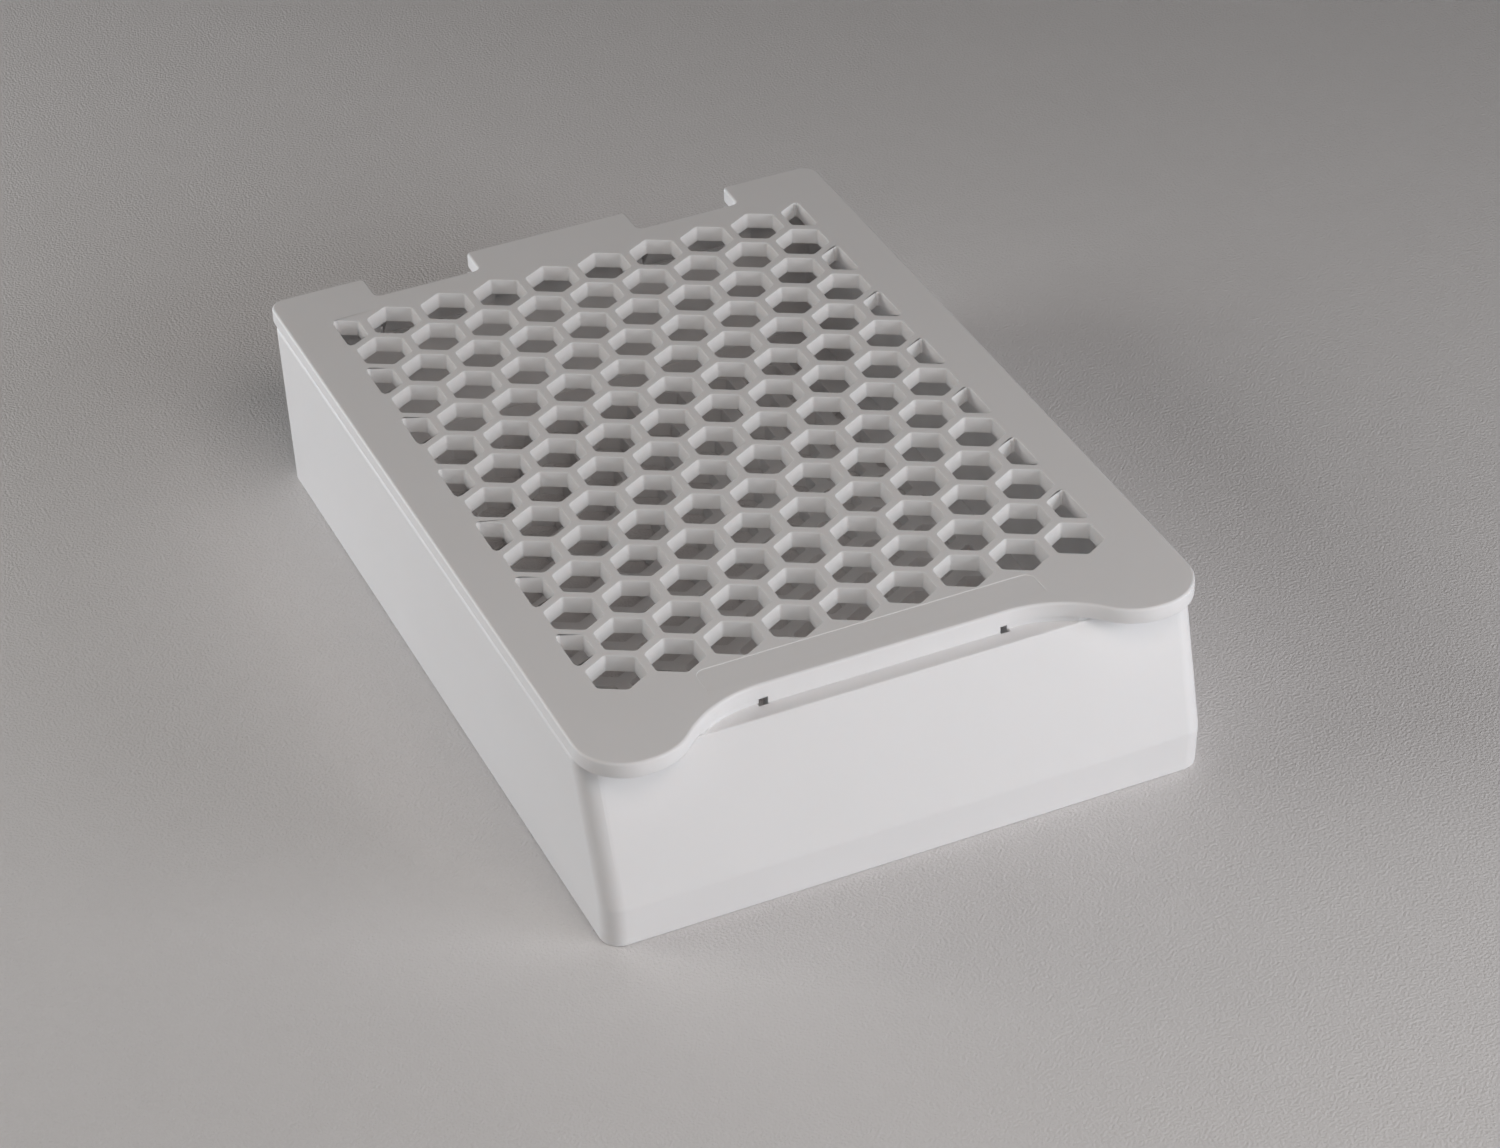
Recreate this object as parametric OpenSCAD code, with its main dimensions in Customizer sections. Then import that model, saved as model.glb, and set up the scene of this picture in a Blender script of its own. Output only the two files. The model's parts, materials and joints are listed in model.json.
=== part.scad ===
// Deep tissue cassette: a perforated tray with a slanted front and a hinged honeycomb lid.
// Millimetres. X runs left to right, Y front to back and Z up.
// The origin is the middle of the underside.

/* [Lid] */
// Width of the lid
lid_w = 53.1; // [50:0.1:56]
// Length of the lid, from the tips of the front lobes to the rear tabs
lid_l = 75.4; // [74:0.1:78]
// Thickness of the lid plate
lid_t = 1.4; // [1:0.1:2]
// Radius of the two front corners
corner_r = 4.3; // [3.5:0.1:4.7]
// Distance from the side to the lowest point of a front lobe
lobe_inset = 4.8; // [4.7:0.1:6]
// Radius of a front lobe where it turns into the scallop
lobe_r = 5.25; // [4.5:0.05:6]
// Depth of the scallop between the front lobes
scallop_d = 4.9; // [4:0.1:5]
// Radius of the hollow curves at the ends of the scallop
scallop_r = 10; // [8:0.5:11]
// Radius of the two rear corners
rear_r = 1.5; // [0.6:0.1:2]
// Radius of the other corners of the rear tabs and of the notches
tab_r = 0.5; // [0.4:0.1:0.9]
// Width of the middle rear tab
mid_tab_w = 15.5; // [14:0.1:16]
// Width of each rear notch
notch_w = 9.75; // [9.6:0.05:10.5]
// Depth of the rear notches
notch_d = 3.3; // [3:0.1:3.6]
// Radius of the rounded top edge
edge_r = 0.35; // [0.2:0.05:0.4]

/* [Honeycomb] */
// Distance between neighbouring holes
hex_pitch = 5; // [4.7:0.05:5.1]
// Width of a lid hole across its flats
hex_w = 4.2; // [3.6:0.1:4.4]
// Width of a floor hole across its flats
floor_hex_w = 3.7; // [3:0.1:4]
// Number of rows of holes
hex_rows = 14; // [8:2:14]
// Number of whole holes in a wide row
hex_columns = 9; // [5:2:9]
// How far the middle of the holes lies behind the middle of the cassette
field_y = 1.7; // [1:0.1:2]

/* [Base] */
// Height of the side and rear rims
rim_z = 16.2; // [14:0.1:20]
// Width of the base at its rim
base_w = 53.1; // [50:0.1:53.1]
// How much narrower the base is at its underside
side_draft = 0.6; // [0:0.1:1]
// Thickness of the walls
wall = 1.4; // [1.2:0.1:1.6]
// Thickness of the floor
floor_t = 1.5; // [1:0.1:2]
// Radius of the upright corners
base_r = 1.75; // [1:0.05:2]
// Height of the skirt under the slanted front
skirt_h = 3.8; // [2:0.1:6]
// How far the skirt leans in towards the underside
skirt_draft = 0.2; // [0:0.1:0.4]
// Distance from the tips of the lid lobes to the top of the skirt
skirt_inset = 0.05; // [0.05:0.05:0.5]
// How far the front leans back from the skirt to the rim
front_lean = 3.3; // [1:0.05:3.5]
// Distance from the rear tabs of the lid to the rear wall at its rim
rear_inset = 0.5; // [0.4:0.1:0.6]
// How much the rear wall leans in towards its underside
rear_draft = 0.2; // [0:0.1:0.4]
// Radius of the rounded outer edge of the rim
rim_r = 0.5; // [0.2:0.1:0.8]
// Radius of the rounded edge round the underside
foot_r = 0.25; // [0.1:0.05:0.5]

/* [Front shelf and latch] */
// How far the front shelf lies below the rim
shelf_drop = 0.5; // [0.3:0.1:0.8]
// Depth of the front shelf, front to back
shelf_d = 3.45; // [3:0.05:4]
// Thickness of the front shelf
shelf_t = 1.4; // [1:0.1:2]
// Width of the notch for the latch tongue
latch_w = 21.6; // [16:0.1:22]
// Depth of the shelf left in front of the latch notch
latch_lip = 1.45; // [1.2:0.05:1.6]
// Gap beside the tongue at each end
latch_gap = 0.8; // [0.4:0.1:1]
// Thickness of the tongue
tongue_t = 1; // [0.8:0.1:1.2]
// How far the tongue reaches below the lid plate
tongue_h = 5; // [3:0.5:6]
// Radius of the rounded bead along the foot of the tongue
bead_r = 0.6; // [0.5:0.05:0.7]

/* [Hinge] */
// Height of the hinge axis
axis_z = 14.1; // [14:0.1:14.2]
// Distance from the rear tabs of the lid forward to the hinge axis
axis_inset = 1.7; // [1.6:0.1:1.8]
// Radius of the hinge pins
pin_r = 0.7; // [0.5:0.05:0.8]
// Running clearance between pin and clip
pin_gap = 0.05; // [0.02:0.01:0.1]
// Outer radius of the clips
clip_r = 1.3; // [1.2:0.05:1.4]
// Width of each clip
clip_w = 8.6; // [6:0.1:8.8]
// Width of each recess in the rear wall
recess_w = 9.4; // [9.2:0.1:9.6]
// Thickness of the lugs at the ends of a recess
lug_t = 1.5; // [1:0.1:2]
// Radius of the round front of the lugs
lug_r = 1.6; // [1.4:0.1:1.8]
// Opening of the lid, in degrees: 0 is closed
lid_angle = 0; // [0:1:110]

/* [Hidden] */
$fn = 64;

// Sheet of air under the lid plate when it is closed
seat_gap = 0.05;
// Room at each end of the front band, in front of it and behind it
band_end_gap = 0.2;
band_front_gap = 0.15;
band_rear_gap = 0.1;
// How far the bead stands out in front of the tongue
bead_proud = 0.1;
// How far a clip's web runs forward under the lid plate
web_d = 1.6;
// How far below the hinge axis the web meets the clip's ring, as an angle
web_angle = 30;
// Room under a clip in its recess
recess_gap = 0.3;
// Width of a clip's mouth as a share of the pin
mouth_share = 0.85;
// Least radius of an upright corner, inside or out
least_r = 0.3;
// Overlap that joins or clears solids in a boolean
eps = 0.01;
// Overshoot of a cutting tool
cut = 1;

half_w = lid_w / 2;
half_l = lid_l / 2;
plate_z = rim_z + seat_gap;
shelf_z = rim_z - shelf_drop;

// Front outline of the lid: a lobe's circle touches the hollow circle on the line of their centres
scallop_y = -half_l + scallop_d;
scallop_run = sqrt(scallop_d * (2 * (lobe_r + scallop_r) - scallop_d));
lobe_c = [half_w - lobe_inset, -half_l + lobe_r];
hollow_c = [lobe_c[0] - scallop_run, scallop_y - scallop_r];
corner_c = [half_w - corner_r, -half_l + corner_r];

// Rear outline of the lid
notch_x = mid_tab_w / 2 + notch_w / 2;
notch_y = half_l - notch_d;
outer_tab_x = mid_tab_w / 2 + notch_w;

// Honeycomb
row_step = hex_pitch * sqrt(3) / 2;
field_w = (hex_columns - 1) * hex_pitch;

// Outside of the base at a height: half its width, its front and its rear
lean_rate = front_lean / (rim_z - skirt_h);
skirt_y = -half_l + skirt_inset;
rear_y = half_l - rear_inset;
function half_at(z) = (base_w - side_draft * (1 - z / rim_z)) / 2;
function front_at(z) =
    skirt_y + skirt_draft * max(1 - z / skirt_h, 0) + lean_rate * max(z - skirt_h, 0);
function rear_at(z) = rear_y - rear_draft * (1 - z / rim_z);

// Front shelf
shelf_y = front_at(shelf_z);
shelf_back_y = shelf_y + shelf_d;
inner_w = base_w - 2 * wall;
band_w = inner_w - 2 * band_end_gap;
band_d = shelf_d - band_front_gap - band_rear_gap;
tongue_w = latch_w - 2 * latch_gap;
bead_z = plate_z - tongue_h + bead_r;

// Hinge
axis_y = half_l - axis_inset;
crown_r = rim_z - axis_z;
recess_z = axis_z - clip_r - recess_gap;
bore_r = pin_r + pin_gap;
mouth_w = 2 * mouth_share * pin_r;

// ---- Outline of the lid, and its rounded edge ----

// Right front lobe with its outer corner and the run into the scallop
module lobe_2d() {
    translate(corner_c)
        circle(corner_r);
    translate([lobe_c[0], corner_c[1]])
        square([lobe_inset, scallop_y + cut - corner_c[1]]);
    translate([lobe_c[0], -half_l])
        square([corner_c[0] - lobe_c[0], corner_r + eps]);
    intersection() {
        translate(lobe_c)
            circle(lobe_r);
        translate([lobe_c[0] - lobe_r, -half_l])
            square([lobe_r, lobe_r]);
    }
    difference() {
        polygon([
            [hollow_c[0], scallop_y + cut],
            hollow_c,
            lobe_c,
            [lobe_c[0] + eps, lobe_c[1]],
            [lobe_c[0] + eps, scallop_y + cut]
        ]);
        translate(hollow_c)
            circle(scallop_r, $fn = 180);
    }
}

// Rear tab between two X positions, with a radius for each of its rear corners
module tab_2d(x0, x1, r0, r1) {
    translate([x0, notch_y - cut])
        square([x1 - x0, cut + notch_d - max(r0, r1)]);
    translate([x0 + r0, notch_y])
        square([x1 - x0 - r0 - r1, notch_d]);
    translate([x0, notch_y])
        square([r0 + eps, notch_d - r0]);
    translate([x1 - r1 - eps, notch_y])
        square([r1 + eps, notch_d - r1]);
    translate([x0 + r0, half_l - r0])
        circle(r0, $fn = 32);
    translate([x1 - r1, half_l - r1])
        circle(r1, $fn = 32);
}

// Rounded inner corners of the right notch
module notch_corners_2d() {
    difference() {
        for (x = [mid_tab_w / 2 - eps, outer_tab_x - tab_r])
            translate([x, notch_y - eps])
                square([tab_r + eps, tab_r + eps]);
        for (x = [mid_tab_w / 2 + tab_r, outer_tab_x - tab_r])
            translate([x, notch_y + tab_r])
                circle(tab_r, $fn = 32);
    }
}

module lid_outline() {
    translate([-half_w, scallop_y])
        square([lid_w, notch_y - scallop_y]);
    tab_2d(-mid_tab_w / 2, mid_tab_w / 2, tab_r, tab_r);
    for (side = [0, 1])
        mirror([side, 0]) {
            lobe_2d();
            tab_2d(outer_tab_x, half_w, tab_r, rear_r);
            notch_corners_2d();
        }
}

// What rounding takes from an edge: the corner is at the origin, outwards is +X and up is +Y
module edge_2d() {
    difference() {
        translate([-edge_r, -edge_r])
            square(edge_r + tab_r / 2);
        translate([-edge_r, -edge_r])
            circle(edge_r, $fn = 32);
    }
}

// Rounds a straight edge that starts at a point, with its outside on the right of its direction
module round_line(start, direction, length) {
    translate([start[0], start[1], plate_z + lid_t])
        rotate(direction)
            rotate([90, 0, 90])
                linear_extrude(length)
                    mirror([1, 0])
                        edge_2d();
}

// Rounds a quarter arc from a direction on, with its outside away from the centre or, if hollow, inside
module round_arc(centre, radius, from, hollow = 0) {
    translate([centre[0], centre[1], plate_z + lid_t])
        rotate(from)
            rotate_extrude(angle = 90, $fn = 96)
                translate([radius, 0])
                    mirror([hollow, 0])
                        edge_2d();
}

// Rounds the run from a lobe into the scallop, each arc on its own side of the line of centres
module round_run() {
    intersection() {
        round_arc(lobe_c, lobe_r, 180);
        translate([0, 0, plate_z])
            linear_extrude(lid_t + cut)
                polygon([lobe_c, hollow_c, [lobe_c[0], hollow_c[1]]]);
    }
    intersection() {
        round_arc(hollow_c, scallop_r, 0, 1);
        translate([0, 0, plate_z])
            linear_extrude(lid_t + cut)
                polygon([hollow_c, lobe_c, [hollow_c[0], lobe_c[1]]]);
    }
}

// Everything that the rounded top edge takes from the right half of the plate
module round_edge() {
    notch_in = mid_tab_w / 2;
    side_l = lid_l - corner_r - rear_r;
    notch_side = notch_d - 2 * tab_r;
    round_run();
    round_line([lobe_c[0], -half_l], 0, corner_c[0] - lobe_c[0]);
    round_arc(corner_c, corner_r, 270);
    round_line([half_w, corner_c[1]], 90, side_l);
    round_arc([half_w - rear_r, half_l - rear_r], rear_r, 0);
    round_line([half_w - rear_r, half_l], 180, half_w - rear_r - outer_tab_x - tab_r);
    round_arc([outer_tab_x + tab_r, half_l - tab_r], tab_r, 90);
    round_line([outer_tab_x, half_l - tab_r], 270, notch_side);
    round_arc([outer_tab_x - tab_r, notch_y + tab_r], tab_r, 270, 1);
    round_line([outer_tab_x - tab_r, notch_y], 180, notch_w - 2 * tab_r);
    round_arc([notch_in + tab_r, notch_y + tab_r], tab_r, 180, 1);
    round_line([notch_in, notch_y + tab_r], 90, notch_side);
    round_arc([notch_in - tab_r, half_l - tab_r], tab_r, 0);
}

// Rows of six-sided holes, the end holes of every second row cut off in line with the others
module honeycomb_2d(across) {
    intersection() {
        translate([-(field_w + across) / 2, -half_l])
            square([field_w + across, lid_l]);
        for (row = [0 : hex_rows - 1]) {
            wide = row % 2 == 0;
            count = wide ? hex_columns : hex_columns + 1;
            y = field_y + (row - (hex_rows - 1) / 2) * row_step;
            for (i = [0 : count - 1])
                translate([(i - (count - 1) / 2) * hex_pitch, y])
                    rotate(30)
                        circle(across / sqrt(3), $fn = 6);
        }
    }
}

// ---- Lid ----

// Honeycomb plate with its rounded outer edge
module plate() {
    difference() {
        translate([0, 0, plate_z])
            linear_extrude(lid_t)
                difference() {
                    lid_outline();
                    honeycomb_2d(hex_w);
                }
        for (side = [0, 1])
            mirror([side, 0, 0])
                round_edge();
        round_line([-hollow_c[0], scallop_y], 0, 2 * hollow_c[0]);
        round_line([mid_tab_w / 2 - tab_r, half_l], 180, mid_tab_w - 2 * tab_r);
    }
}

// Thicker band that drops into the front shelf, slit at both ends of the tongue
module front_band() {
    translate([0, 0, plate_z - shelf_drop])
        linear_extrude(shelf_drop + eps)
            difference() {
                intersection() {
                    lid_outline();
                    translate([-band_w / 2, shelf_y + band_front_gap])
                        square([band_w, band_d]);
                }
                for (side = [-1, 1])
                    translate([side * (tongue_w + latch_gap) / 2 - latch_gap / 2, shelf_y])
                        square([latch_gap, shelf_d + cut]);
            }
}

// Latch tongue with a round bead along its foot
module tongue() {
    translate([-tongue_w / 2, scallop_y, bead_z])
        cube([tongue_w, tongue_t, tongue_h - bead_r + eps]);
    translate([-tongue_w / 2, scallop_y + bead_r - bead_proud, bead_z])
        rotate([0, 90, 0])
            cylinder(h = tongue_w, r = bead_r, $fn = 32);
}

// Hinge clip: a round hook that snaps down over a pin
module clip() {
    difference() {
        union() {
            rotate([90, 0, 90])
                linear_extrude(clip_w, center = true)
                    polygon([
                        [notch_y - web_d, plate_z + eps],
                        [notch_y, plate_z + eps],
                        [axis_y, axis_z + clip_r],
                        [axis_y, axis_z],
                        [axis_y - clip_r * cos(web_angle), axis_z - clip_r * sin(web_angle)]
                    ]);
            on_axis(clip_w, clip_r);
        }
        on_axis(clip_w + cut, bore_r);
        translate([-(clip_w + cut) / 2, axis_y - mouth_w / 2, axis_z - clip_r - cut])
            cube([clip_w + cut, mouth_w, clip_r + cut]);
    }
}

// Round bar along the hinge axis
module on_axis(length, radius) {
    translate([0, axis_y, axis_z])
        rotate([0, 90, 0])
            cylinder(h = length, r = radius, center = true);
}

module lid() {
    color("#e4e2e3")
        translate([0, axis_y, axis_z])
            rotate([-lid_angle, 0, 0])
                translate([0, -axis_y, -axis_z]) {
                    plate();
                    front_band();
                    tongue();
                    for (side = [-1, 1])
                        translate([side * notch_x, 0, 0])
                            clip();
                }
}

// ---- Base ----

// Thin slice of the base at a height, moved inwards by an inset
module slice(z, inset) {
    half = half_at(z) - inset;
    r = max(base_r - inset, least_r);
    front = front_at(z) + inset + r;
    rear = rear_at(z) - inset - r;
    for (x = [-half + r, half - r], y = [front, rear])
        translate([x, y, z])
            cylinder(h = eps, r = r, $fn = 32);
}

// Outside of the tray, rounded round its underside and its rim
module outer_form() {
    hull() {
        for (a = [0 : 30 : 90])
            slice(foot_r * (1 - cos(a)), foot_r * (1 - sin(a)));
        slice(skirt_h, 0);
        for (a = [0 : 22.5 : 90])
            slice(rim_z - eps - rim_r * (1 - cos(a)), rim_r * (1 - sin(a)));
    }
}

module inner_form() {
    hull() {
        slice(floor_t, wall);
        slice(skirt_h, wall);
        slice(rim_z + eps, wall);
    }
}

// Tray with its front shelf: the shelf is what the hollow leaves above the shelf's underside
module tray() {
    difference() {
        outer_form();
        difference() {
            inner_form();
            translate([-half_w, -half_l, shelf_z - shelf_t])
                cube([lid_w, half_l + shelf_back_y, shelf_t + cut]);
        }
        translate([-inner_w / 2, -half_l, shelf_z])
            cube([inner_w, half_l + shelf_back_y + eps, shelf_drop + cut]);
        translate([-latch_w / 2, shelf_y + latch_lip, shelf_z - shelf_t - eps])
            cube([latch_w, shelf_d, shelf_t + cut]);
    }
}

// Lugs at both ends of one hinge recess
module lugs() {
    for (side = [-1, 1])
        translate([side * (recess_w + lug_t) / 2, 0, 0]) {
            on_axis(lug_t, lug_r);
            translate([-lug_t / 2, axis_y - lug_r, axis_z])
                cube([lug_t, lug_r + rear_y - axis_y - wall / 2, rim_z - axis_z]);
        }
}

// What the lid's tabs sweep through behind the hinge axis
module crown_cut() {
    difference() {
        translate([-half_w, axis_y, axis_z])
            cube([lid_w, half_l, rim_z]);
        on_axis(lid_w + cut, crown_r);
    }
}

module base() {
    color("#e8e6e8") {
        difference() {
            union() {
                tray();
                intersection() {
                    outer_form();
                    for (side = [-1, 1])
                        translate([side * notch_x, 0, 0])
                            lugs();
                }
            }
            for (side = [-1, 1])
                translate([side * notch_x - recess_w / 2, axis_y - lug_r - eps, recess_z])
                    cube([recess_w, half_l, rim_z]);
            crown_cut();
            translate([0, 0, -cut])
                linear_extrude(floor_t + 2 * cut)
                    honeycomb_2d(floor_hex_w);
        }
        for (side = [-1, 1])
            translate([side * notch_x, 0, 0])
                on_axis(recess_w + lug_t, pin_r);
    }
}

base();
lid();
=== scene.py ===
"""Deep tissue cassette: a perforated acetal tray and its hinged honeycomb lid, on a pale bench."""

import json
import math

import bmesh
import bpy
from bpy.props import FloatProperty, FloatVectorProperty, IntProperty, PointerProperty
from bpy.types import Operator, Panel, PropertyGroup
from mathutils import Matrix, Vector


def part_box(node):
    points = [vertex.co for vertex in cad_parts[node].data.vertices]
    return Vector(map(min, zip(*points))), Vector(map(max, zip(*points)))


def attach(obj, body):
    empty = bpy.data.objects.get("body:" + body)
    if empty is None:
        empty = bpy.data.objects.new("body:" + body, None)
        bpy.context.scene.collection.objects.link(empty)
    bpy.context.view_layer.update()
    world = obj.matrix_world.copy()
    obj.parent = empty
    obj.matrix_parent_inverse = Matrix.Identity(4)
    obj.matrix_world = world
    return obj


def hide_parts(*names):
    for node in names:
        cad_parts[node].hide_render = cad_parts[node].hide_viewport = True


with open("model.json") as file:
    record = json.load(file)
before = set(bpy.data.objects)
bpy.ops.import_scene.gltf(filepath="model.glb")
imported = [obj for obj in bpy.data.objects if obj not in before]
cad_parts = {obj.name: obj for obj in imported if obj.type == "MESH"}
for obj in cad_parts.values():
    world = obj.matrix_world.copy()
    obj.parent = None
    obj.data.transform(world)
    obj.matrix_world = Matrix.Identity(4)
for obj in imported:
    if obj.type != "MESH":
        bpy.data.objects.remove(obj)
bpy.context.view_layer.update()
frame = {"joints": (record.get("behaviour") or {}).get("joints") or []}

bl_info = {
    "name": "Tissue cassette",
    "version": (1, 0, 0),
    "blender": (4, 5, 0),
    "location": "3D View > Sidebar > Cassette",
    "description": "Builds a deep perforated tissue cassette with a hinged honeycomb lid",
    "category": "Add Mesh",
}

MM = 0.001

# Small distances that the shapes share: the overlap of joined solids, the offset that keeps two
# faces apart, the softened edge of a small solid, and how far a cut runs past what it cuts
LAP = 0.5 * MM
HAIR = 0.01 * MM
SOFT = 0.12 * MM
CUT = 1 * MM
FAR = 2 * MM

# What the frame gives: the boxes of the two mouldings and the hinge axis
LID_LOW, LID_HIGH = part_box("lid")
BASE_LOW, BASE_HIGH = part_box("base")
AXIS = Vector(frame["joints"][0]["pos_m"])


def linear(hex_colour):
    """An sRGB hex colour as linear RGB."""
    channels = [int(hex_colour[i:i + 2], 16) / 255 for i in (1, 3, 5)]
    return tuple(c / 12.92 if c <= 0.04045 else ((c + 0.055) / 1.055) ** 2.4 for c in channels)


def length(name, millimetres, text, low=0.0, high=200.0):
    """A length that a user can change, given in millimetres."""
    return FloatProperty(
        name=name, description=text, default=millimetres * MM, min=low * MM, max=high * MM,
        unit="LENGTH", precision=5,
    )


def colour(name, hex_colour, text):
    """A colour that a user can change, given as sRGB hex."""
    return FloatVectorProperty(
        name=name, description=text, default=linear(hex_colour), size=3, min=0, max=1, subtype="COLOR"
    )


# ---- What a user can change ----


class LidSizes(PropertyGroup):
    plate_t: length("Plate", 1.4, "Thickness of the lid plate")
    edge_r: length("Edge radius", 0.25, "Radius of the rounded top edge")
    foot_r: length("Lower edge radius", 0.12, "Radius of the rounded lower edge of the plate")
    corner_r: length("Front corners", 4.3, "Radius of the front corners")
    lobe_inset: length("Lobe inset", 4.8, "Distance from the side to the lowest point of a front lobe")
    lobe_r: length("Lobes", 5.25, "Radius of a front lobe where it turns into the scallop")
    scallop_d: length("Scallop depth", 4.8, "Depth of the scallop between the lobes")
    scallop_r: length("Scallop ends", 10, "Radius of the hollow curves at the ends of the scallop")
    rear_r: length("Rear corners", 1.5, "Radius of the rear corners")
    tab_r: length("Tab corners", 0.5, "Radius of the other corners of the rear tabs and of the notches")
    mid_tab_w: length("Middle tab", 15.5, "Width of the middle rear tab")
    notch_w: length("Notches", 9.75, "Width of each rear notch")
    notch_d: length("Notch depth", 3.3, "Depth of the rear notches")
    band_t: length("Front band", 0.545, "Extra thickness of the band that drops into the front shelf")
    band_d: length("Front band depth", 3.2, "Depth of that band, front to back")
    band_inset: length("Front band inset", 0.25, "How far that band is set back from the plate's edge")
    tongue_w: length("Tongue", 20.1, "Width of the latch tongue")
    tongue_t: length("Tongue thickness", 1.0, "Thickness of the latch tongue")
    tongue_h: length("Tongue reach", 5.0, "How far the latch tongue reaches below the plate")
    tongue_proud: length("Tongue offset", 0.1, "How far the tongue stands out in front of the plate's edge")
    slit_w: length("Slits", 0.7, "Width of the slit at each end of the tongue")
    slit_h: length("Slit height", 0.36, "Height of those slits above the shelf")
    clip_r: length("Clip radius", 1.3, "Outer radius of the hinge clips")
    clip_bore_r: length("Clip bore", 0.75, "Bore radius of the hinge clips")
    clip_w: length("Clip width", 8.6, "Width of each hinge clip")
    panel_w: length("Name panel", 29.4, "Width of the bare sunk panel at the front")
    panel_d: length("Name panel depth", 0.04, "How far the bare panel is sunk")


class HoleSizes(PropertyGroup):
    pitch: length("Pitch", 5.0, "Distance between neighbouring holes")
    lid_w: length("Lid holes", 4.2, "Width of a lid hole across its flats")
    floor_w: length("Floor holes", 3.7, "Width of a floor hole across its flats")
    corner_r: length("Corner radius", 0.32, "Radius of a hole's corners")
    taper: length("Taper", 0.15, "How far each wall of a lid hole leans in towards the underside")
    rim_r: length("Rim radius", 0.1, "Radius of the rounded upper rim of a hole")
    foot_r: length("Lower rim radius", 0.04, "Radius of the lower rim of a hole")
    middle_y: length("Middle", 1.7, "How far the middle of the holes lies behind the middle of the cassette")
    rows: IntProperty(name="Rows", description="Rows of holes, front to back", default=14, min=2, max=14)
    columns: IntProperty(name="Columns", description="Holes in a wide row", default=9, min=3, max=9)


class TraySizes(PropertyGroup):
    wall: length("Walls", 1.4, "Thickness of the walls")
    floor_t: length("Floor", 1.5, "Thickness of the floor")
    corner_r: length("Upright corners", 1.75, "Radius of the upright corners")
    side_draft: length("Side draft", 0.3, "How far each side leans in towards the underside")
    rear_draft: length("Rear draft", 0.2, "How far the rear wall leans in towards the underside")
    skirt_h: length("Skirt", 3.8, "Height of the skirt under the slanted front")
    skirt_draft: length("Skirt draft", 0.2, "How far the skirt leans in towards the underside")
    front_lean: length("Front lean", 3.3, "How far the front leans back from the skirt to the rim")
    bend_h: length("Bend", 0.4, "Height over which the front turns from the skirt to the slant")
    rim_r: length("Rim radius", 0.5, "Radius of the rounded outer edge of the rim")
    foot_r: length("Foot radius", 0.25, "Radius of the rounded edge round the underside")
    shelf_drop: length("Shelf drop", 0.5, "How far the front shelf lies below the rim")
    shelf_d: length("Shelf depth", 3.45, "Depth of the front shelf")
    shelf_t: length("Shelf thickness", 1.4, "Thickness of the front shelf")
    shelf_r: length("Shelf edge", 0.18, "Radius of the front edge of the shelf")
    latch_w: length("Latch notch", 21.6, "Width of the notch for the latch tongue")
    latch_lip: length("Latch lip", 1.55, "Depth of the shelf in front of that notch")
    recess_w: length("Hinge recesses", 9.4, "Width of each hinge recess")
    recess_gap: length("Recess clearance", 0.3, "Clearance under a hinge clip")
    lug_t: length("Lugs", 1.5, "Thickness of the lugs at the ends of a recess")
    lug_r: length("Lug radius", 1.6, "Radius of the round front of the lugs")
    pin_r: length("Pins", 0.7, "Radius of the hinge pins")


class Colours(PropertyGroup):
    acetal: colour("Acetal", "#f4f3f4", "White moulded acetal")
    acetal_shade: colour("Acetal shade", "#f1f0f0", "The slightly warmer patches of the moulding")
    bench: colour("Bench", "#e7e5e5", "Pale laminate bench top")
    bench_grain: colour("Bench grain", "#e1dfdf", "The darker grain of the bench top")


class Shot(PropertyGroup):
    azimuth: FloatProperty(
        name="Azimuth", description="Direction of the camera round the cassette",
        default=math.radians(-23.024), subtype="ANGLE",
    )
    elevation: FloatProperty(
        name="Elevation", description="Height of the camera above the bench as an angle",
        default=math.radians(35.533), subtype="ANGLE",
    )
    roll: FloatProperty(
        name="Roll", description="Turn of the camera about its own axis",
        default=math.radians(-2.184), subtype="ANGLE",
    )
    distance: length("Distance", 350.6, "Distance from the camera to the point it looks at", high=2000)
    aim: FloatVectorProperty(
        name="Aim", description="Point that the camera looks at", size=3, subtype="TRANSLATION",
        default=(1.378 * MM, -3.352 * MM, 5.335 * MM), precision=5,
    )
    lens: FloatProperty(name="Lens", description="Focal length in millimetres", default=99.09, min=10)


class CassetteSettings(PropertyGroup):
    lid: PointerProperty(type=LidSizes)
    holes: PointerProperty(type=HoleSizes)
    tray: PointerProperty(type=TraySizes)
    colours: PointerProperty(type=Colours)
    shot: PointerProperty(type=Shot)


# ---- Shapes ----


def arc(centre, radius, start, end, steps):
    """Points on an arc, from one angle to another, in degrees."""
    return [
        (centre[0] + radius * math.cos(a), centre[1] + radius * math.sin(a))
        for a in (math.radians(start + (end - start) * i / steps) for i in range(steps + 1))
    ]


def rounding(radius, steps):
    """Steps of a rounded edge, as (distance in from the side, distance down from the top)."""
    angles = [math.pi / 2 * i / steps for i in range(steps + 1)]
    return [(radius * (1 - math.cos(a)), radius * (1 - math.sin(a))) for a in angles]


def mesh_object(name, bm):
    """A new object at the origin with the mesh, its faces pointing outwards."""
    bmesh.ops.recalc_face_normals(bm, faces=bm.faces)
    mesh = bpy.data.meshes.new(name)
    bm.to_mesh(mesh)
    bm.free()
    made = bpy.data.objects.new(name, mesh)
    bpy.context.scene.collection.objects.link(made)
    return made


def loft(name, loops):
    """A closed solid through loops of equally many points."""
    bm = bmesh.new()
    rings = [[bm.verts.new(p) for p in loop] for loop in loops]
    for low, high in zip(rings, rings[1:]):
        for i in range(len(low)):
            j = (i + 1) % len(low)
            bm.faces.new((low[i], low[j], high[j], high[i]))
    bm.faces.new(reversed(rings[0]))
    bm.faces.new(rings[-1])
    return mesh_object(name, bm)


def bar(name, section, left, right):
    """A solid with the same section, a list of (y, z), from one X position to another."""
    return loft(name, [[(x, y, z) for y, z in section] for x in (left, right)])


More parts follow.
